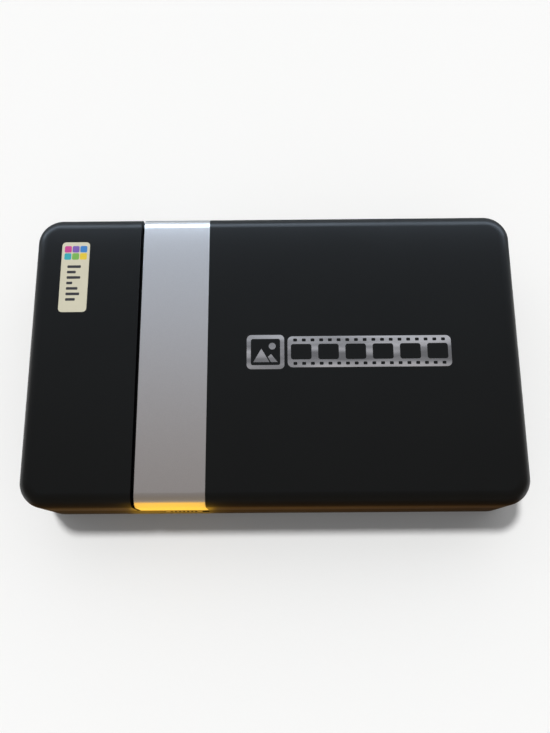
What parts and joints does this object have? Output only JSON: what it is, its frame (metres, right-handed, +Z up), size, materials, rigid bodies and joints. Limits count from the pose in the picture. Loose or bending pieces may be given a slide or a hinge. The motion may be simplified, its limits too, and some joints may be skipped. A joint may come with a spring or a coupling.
{
  "type": "compact photo printer",
  "caption": "Pocket photo printer with a hinged paper door, silver band, roller feed driven by a gear train, thermal head, latch, battery cover and power button.",
  "frame": {"origin": "centre of the footprint, on the surface that the feet stand on", "axes": "+X along the length, from the paper exit to the door hinge; +Y towards the back wall with the ports; +Z up"},
  "size_m": [0.12, 0.073, 0.0235],
  "materials": {
    "shell_black": "soft-touch matte black",
    "case_black": "fine-textured matte black",
    "band_silver": "satin silver paint",
    "label_cream": "printed film label",
    "steel": "ground steel",
    "zinc": "zinc-plated screw",
    "spring_steel": "bright spring wire",
    "rubber_black": "matte black rubber",
    "rubber_grey": "ground grey rubber",
    "button_grey": "satin dark grey",
    "light_clear": "frosted clear",
    "led_green": "cast resin",
    "tray_grey": "moulded dark grey",
    "head_ceramic": "glazed ceramic",
    "heatsink": "extruded",
    "plate_metal": "zinc-coated sheet",
    "brass": "turned",
    "gear_white": "natural acetal",
    "motor_steel": "drawn can",
    "board_green": "solder mask",
    "chip_black": "moulded chip body",
    "shield_tin": "tinned shield",
    "jack_black": "moulded black",
    "battery_blue": "film-wrapped cells",
    "switch_ivory": "moulded ivory",
    "flex_amber": "polyimide film",
    "lead_red": "insulated wire"
  },
  "bodies": {
    "base": {"bottom_case": "case_black", "end_cover": "shell_black", "colour_label": "label_cream", "hinge_pin": "steel", "rubber_feet": "rubber_black", "case_screws": "zinc", "button_switch": "switch_ivory", "light_pipes": "light_clear", "status_leds": "led_green", "paper_tray": "tray_grey", "tray_screws": "zinc", "head_springs": "spring_steel", "gear_side_plate": "plate_metal", "latch_side_plate": "plate_metal", "bridge_plate": "plate_metal", "shaft_bushes": "brass", "exit_guide": "tray_grey", "feed_guide": "tray_grey", "paper_sensor": "chip_black", "feed_motor": "motor_steel", "gear_axles": "steel", "plate_screws": "zinc", "main_board": "board_green", "board_chips": "chip_black", "wireless_module": "shield_tin", "usb_socket": "shield_tin", "dc_jack": "jack_black", "board_screws": "zinc", "battery_pack": "battery_blue", "battery_contacts": "jack_black", "head_flex": "flex_amber", "motor_leads": "lead_red"},
    "door": {"paper_door": "shell_black", "door_band": "band_silver", "door_catch": "plate_metal", "pressure_springs": "spring_steel"},
    "pressure_plate": {"pressure_plate": "tray_grey"},
    "latch": {"latch_slide": "button_grey", "latch_grip": "button_grey"},
    "battery_cover": {"battery_door": "case_black"},
    "button": {"power_button": "button_grey"},
    "platen": {"platen_roller": "rubber_black", "platen_shaft": "steel", "platen_gear": "gear_white"},
    "feed": {"feed_roller": "rubber_grey", "feed_shaft": "steel", "feed_gear": "gear_white"},
    "pinch": {"pinch_roller": "rubber_grey", "pinch_shaft": "steel"},
    "pick": {"pick_roller": "rubber_grey", "pick_shaft": "steel", "pick_gear": "gear_white"},
    "rotor": {"motor_shaft": "steel", "motor_pinion": "brass"},
    "reduction": {"reduction_gear": "gear_white"},
    "idler_1": {"idler_gear_1": "gear_white"},
    "idler_2": {"idler_gear_2": "gear_white"},
    "transfer": {"transfer_gear": "gear_white"},
    "head": {"print_head": "head_ceramic", "head_heatsink": "heatsink"}
  },
  "joints": [
    {"name": "door_hinge", "type": "hinge", "parent": "base", "child": "door", "pos_m": [0.058, 0, 0.0118], "axis": [0, 1, 0], "range_deg": [0, 95]},
    {"name": "plate_press", "type": "slide", "parent": "door", "child": "pressure_plate", "axis": [0, 0, 1], "range_m": [0, 0.0026], "stiffness_N_per_m": 300, "springref_m": -0.002, "deforming": ["pressure_springs"]},
    {"name": "latch_slide", "type": "slide", "parent": "base", "child": "latch", "axis": [1, 0, 0], "range_m": [0, 0.0015]},
    {"name": "battery_cover_slide", "type": "slide", "parent": "base", "child": "battery_cover", "axis": [1, 0, 0], "range_m": [0, 0.045]},
    {"name": "button_press", "type": "slide", "parent": "base", "child": "button", "axis": [0, -1, 0], "range_m": [0, 0.0004], "stiffness_N_per_m": 500},
    {"name": "head_pivot", "type": "hinge", "parent": "base", "child": "head", "pos_m": [-0.0352, 0, 0.0052], "axis": [0, 1, 0], "range_deg": [-4, 0], "stiffness_Nm_per_rad": 0.3, "springref_deg": 1.72, "deforming": ["head_springs", "head_flex"]},
    {"name": "platen_spin", "type": "hinge", "parent": "base", "child": "platen", "pos_m": [-0.042, 0, 0.01655], "axis": [0, 1, 0], "continuous": true},
    {"name": "feed_spin", "type": "hinge", "parent": "base", "child": "feed", "pos_m": [-0.0295, 0, 0.00875], "axis": [0, 1, 0], "continuous": true},
    {"name": "pinch_spin", "type": "hinge", "parent": "base", "child": "pinch", "pos_m": [-0.0295, 0, 0.01505], "axis": [0, 1, 0], "continuous": true},
    {"name": "pick_spin", "type": "hinge", "parent": "base", "child": "pick", "pos_m": [-0.015, 0, 0.008], "axis": [0, 1, 0], "continuous": true},
    {"name": "motor_spin", "type": "hinge", "parent": "base", "child": "rotor", "pos_m": [-0.0515, 0, 0.0069], "axis": [0, 1, 0], "continuous": true},
    {"name": "reduction_spin", "type": "hinge", "parent": "base", "child": "reduction", "pos_m": [-0.04386, 0, 0.01049], "axis": [0, 1, 0], "continuous": true},
    {"name": "idler_1_spin", "type": "hinge", "parent": "base", "child": "idler_1", "pos_m": [-0.03845, 0, 0.01088], "axis": [0, 1, 0], "continuous": true},
    {"name": "idler_2_spin", "type": "hinge", "parent": "base", "child": "idler_2", "pos_m": [-0.03399, 0, 0.01298], "axis": [0, 1, 0], "continuous": true},
    {"name": "transfer_spin", "type": "hinge", "parent": "base", "child": "transfer", "pos_m": [-0.02261, 0, 0.0066], "axis": [0, 1, 0], "continuous": true}
  ],
  "couplings": [
    {"joint": "feed_spin", "follows": "platen_spin", "ratio": -1.1429},
    {"joint": "pinch_spin", "follows": "platen_spin", "ratio": 1.6},
    {"joint": "pick_spin", "follows": "platen_spin", "ratio": -1},
    {"joint": "motor_spin", "follows": "platen_spin", "ratio": 7.6},
    {"joint": "reduction_spin", "follows": "platen_spin", "ratio": -2},
    {"joint": "idler_1_spin", "follows": "platen_spin", "ratio": -1.7143},
    {"joint": "idler_2_spin", "follows": "platen_spin", "ratio": 1.7143},
    {"joint": "transfer_spin", "follows": "platen_spin", "ratio": 1.2}
  ]
}
